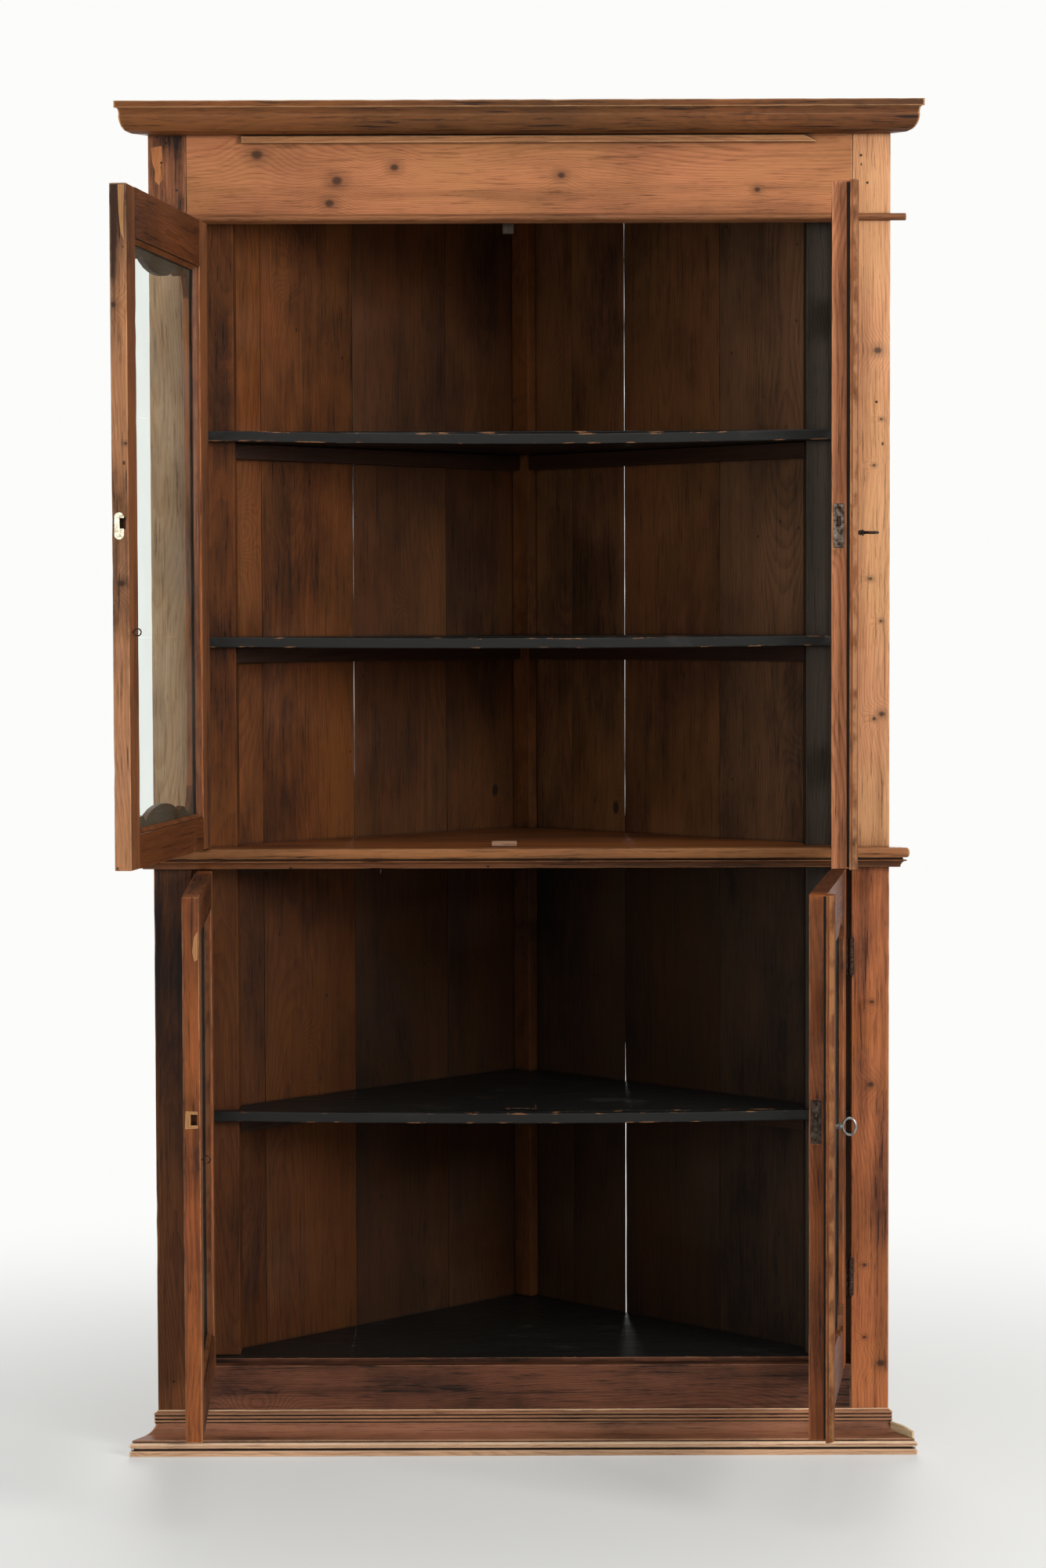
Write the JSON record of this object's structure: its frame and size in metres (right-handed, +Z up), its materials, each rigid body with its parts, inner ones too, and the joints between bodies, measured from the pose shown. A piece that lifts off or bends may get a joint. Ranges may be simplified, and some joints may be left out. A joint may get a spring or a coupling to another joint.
{
  "type": "glazed corner cupboard",
  "caption": "Tall corner cupboard with glazed doors above and below, corner shelves, a cornice, a waist moulding and a plinth, shown with its doors open.",
  "frame": {"origin": "middle of the underside of the base rail, which is the front of the cupboard's foot", "axes": "+X to the right seen from the front, +Y back into the room's corner, +Z up"},
  "size_m": [1.358, 1.2136, 2.295],
  "materials": {
    "pine_outside": "stained and waxed pine, worn",
    "pine_moulding": "stained pine moulding, worn",
    "pine_plinth": "rubbed pine, stain worn away on the edges",
    "pine_inside": "dark stained pine boards",
    "pine_waist": "stained pine board",
    "pine_door": "red brown stained pine",
    "black_paint": "pine painted black, rubbed edges",
    "window_glass": "old drawn window glass",
    "iron": "brown wrought iron",
    "key_steel": "grey filed steel"
  },
  "bodies": {
    "root": {"stile_left": "pine_outside", "stile_right": "pine_outside", "base_rail": "pine_outside", "frieze_board": "pine_outside", "cornice": "pine_moulding", "waist_moulding": "pine_moulding", "plinth_moulding": "pine_plinth", "wall_left_rear": "pine_inside", "wall_left_front": "pine_inside", "wall_right_rear": "pine_inside", "wall_right_front": "pine_inside", "top_board": "pine_inside", "corner_post": "pine_inside", "front_post_left": "pine_inside", "front_post_right": "pine_inside", "lower_shelf": "black_paint", "lower_shelf_cleat_left": "pine_inside", "lower_shelf_cleat_right": "pine_inside", "middle_shelf": "black_paint", "middle_shelf_cleat_left": "pine_inside", "middle_shelf_cleat_right": "pine_inside", "upper_shelf": "black_paint", "upper_shelf_cleat_left": "pine_inside", "upper_shelf_cleat_right": "pine_inside", "floor_board": "black_paint", "waist_board": "pine_waist", "upper_left_door_hinge_bottom": "iron", "upper_left_door_hinge_top": "iron", "upper_right_door_hinge_bottom": "iron", "upper_right_door_hinge_top": "iron", "lower_left_door_hinge_bottom": "iron", "lower_left_door_hinge_top": "iron", "lower_right_door_hinge_bottom": "iron", "lower_right_door_hinge_top": "iron"},
    "upper_left_door": {"upper_left_door_hinge_stile": "pine_door", "upper_left_door_lock_stile": "pine_door", "upper_left_door_top_rail": "pine_door", "upper_left_door_bottom_rail": "pine_door", "upper_left_door_glass": "window_glass"},
    "upper_right_door": {"upper_right_door_hinge_stile": "pine_door", "upper_right_door_lock_stile": "pine_door", "upper_right_door_top_rail": "pine_door", "upper_right_door_bottom_rail": "pine_door", "upper_right_door_glass": "window_glass", "upper_right_door_lock": "iron"},
    "upper_right_door_key": {"upper_right_door_key": "key_steel"},
    "upper_right_door_bolt": {"upper_right_door_bolt": "iron"},
    "lower_left_door": {"lower_left_door_hinge_stile": "pine_door", "lower_left_door_lock_stile": "pine_door", "lower_left_door_top_rail": "pine_door", "lower_left_door_bottom_rail": "pine_door", "lower_left_door_glass": "window_glass"},
    "lower_right_door": {"lower_right_door_hinge_stile": "pine_door", "lower_right_door_lock_stile": "pine_door", "lower_right_door_top_rail": "pine_door", "lower_right_door_bottom_rail": "pine_door", "lower_right_door_glass": "window_glass", "lower_right_door_lock": "iron"},
    "lower_right_door_key": {"lower_right_door_key": "key_steel"},
    "lower_right_door_bolt": {"lower_right_door_bolt": "iron"}
  },
  "joints": [
    {"name": "upper_left_door_swing", "type": "hinge", "parent": "root", "child": "upper_left_door", "pos_m": [-0.5615, -0.0215, 1.6], "axis": [0, 0, -1], "range_deg": [-97.5, 37.5]},
    {"name": "upper_right_door_swing", "type": "hinge", "parent": "root", "child": "upper_right_door", "pos_m": [0.5615, -0.0215, 1.6], "axis": [0, 0, 1], "range_deg": [-85, 50]},
    {"name": "upper_right_door_key_turn", "type": "hinge", "parent": "upper_right_door", "child": "upper_right_door_key", "pos_m": [0.50703, -0.55227, 1.558], "axis": [0.9962, -0.0872, 0], "range_deg": [0, 180]},
    {"name": "upper_right_door_bolt_throw", "type": "slide", "parent": "upper_right_door", "child": "upper_right_door_bolt", "axis": [-0.0872, -0.9962, 0], "range_m": [0, 0.009]},
    {"name": "lower_left_door_swing", "type": "hinge", "parent": "root", "child": "lower_left_door", "pos_m": [-0.5615, -0.0215, 0.57], "axis": [0, 0, -1], "range_deg": [-87, 48]},
    {"name": "lower_right_door_swing", "type": "hinge", "parent": "root", "child": "lower_right_door", "pos_m": [0.5615, -0.0215, 0.57], "axis": [0, 0, 1], "range_deg": [-81.5, 53.5]},
    {"name": "lower_right_door_key_turn", "type": "hinge", "parent": "lower_right_door", "child": "lower_right_door_key", "pos_m": [0.47473, -0.54796, 0.637], "axis": [0.989, -0.1478, 0], "range_deg": [0, 180]},
    {"name": "lower_right_door_bolt_throw", "type": "slide", "parent": "lower_right_door", "child": "lower_right_door_bolt", "axis": [-0.1478, -0.989, 0], "range_m": [0, 0.009]}
  ],
  "couplings": [
    {"joint": "upper_right_door_bolt_throw", "follows": "upper_right_door_key_turn", "m_per_rad": 0.0028648},
    {"joint": "lower_right_door_bolt_throw", "follows": "lower_right_door_key_turn", "m_per_rad": 0.0028648}
  ]
}
